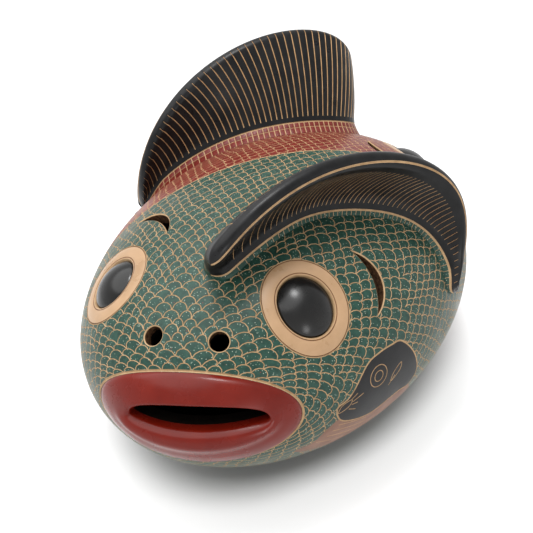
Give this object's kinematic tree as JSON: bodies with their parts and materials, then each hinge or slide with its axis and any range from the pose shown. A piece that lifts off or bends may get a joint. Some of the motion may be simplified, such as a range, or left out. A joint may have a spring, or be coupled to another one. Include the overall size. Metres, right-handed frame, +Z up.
{
  "type": "ceramic guiro",
  "caption": "Hollow egg-shaped ceramic guiro modelled as two fish head to tail, with pierced mouths, nostrils and gill slits, inlaid eyes and tall incised fins to scrape.",
  "frame": {"origin": "on the floor, at the middle of the flattened foot, straight under the middle of the egg-shaped body", "axes": "+Z up; -Y the way the green fish faces, along the long axis of the body; +X to the green fish's left"},
  "size_m": [0.1701, 0.2386, 0.1548],
  "materials": {
    "green_slip": "burnished green slip with tan incised scales, satin",
    "red_slip": "burnished red slip with tan incised scales, satin",
    "black_slip": "burnished charcoal slip with tan incised rays, satin",
    "lip_slip": "burnished brick red slip, soft gloss",
    "cream_slip": "smooth tan slip, satin",
    "pupil_slip": "burnished black slip, glossy"
  },
  "bodies": {
    "root": {"body_shell": "green_slip", "base_bowl": "red_slip", "green_fish_fin": "black_slip", "green_fish_fin_rim": "black_slip", "red_fish_fin": "black_slip", "red_fish_fin_rim": "black_slip", "green_fish_lips": "lip_slip", "red_fish_lips": "lip_slip", "green_left_eye_ring": "cream_slip", "green_left_pupil": "pupil_slip", "green_right_eye_ring": "cream_slip", "green_right_pupil": "pupil_slip", "red_left_eye_ring": "cream_slip", "red_left_pupil": "pupil_slip", "red_right_eye_ring": "cream_slip", "red_right_pupil": "pupil_slip"}
  },
  "joints": []
}
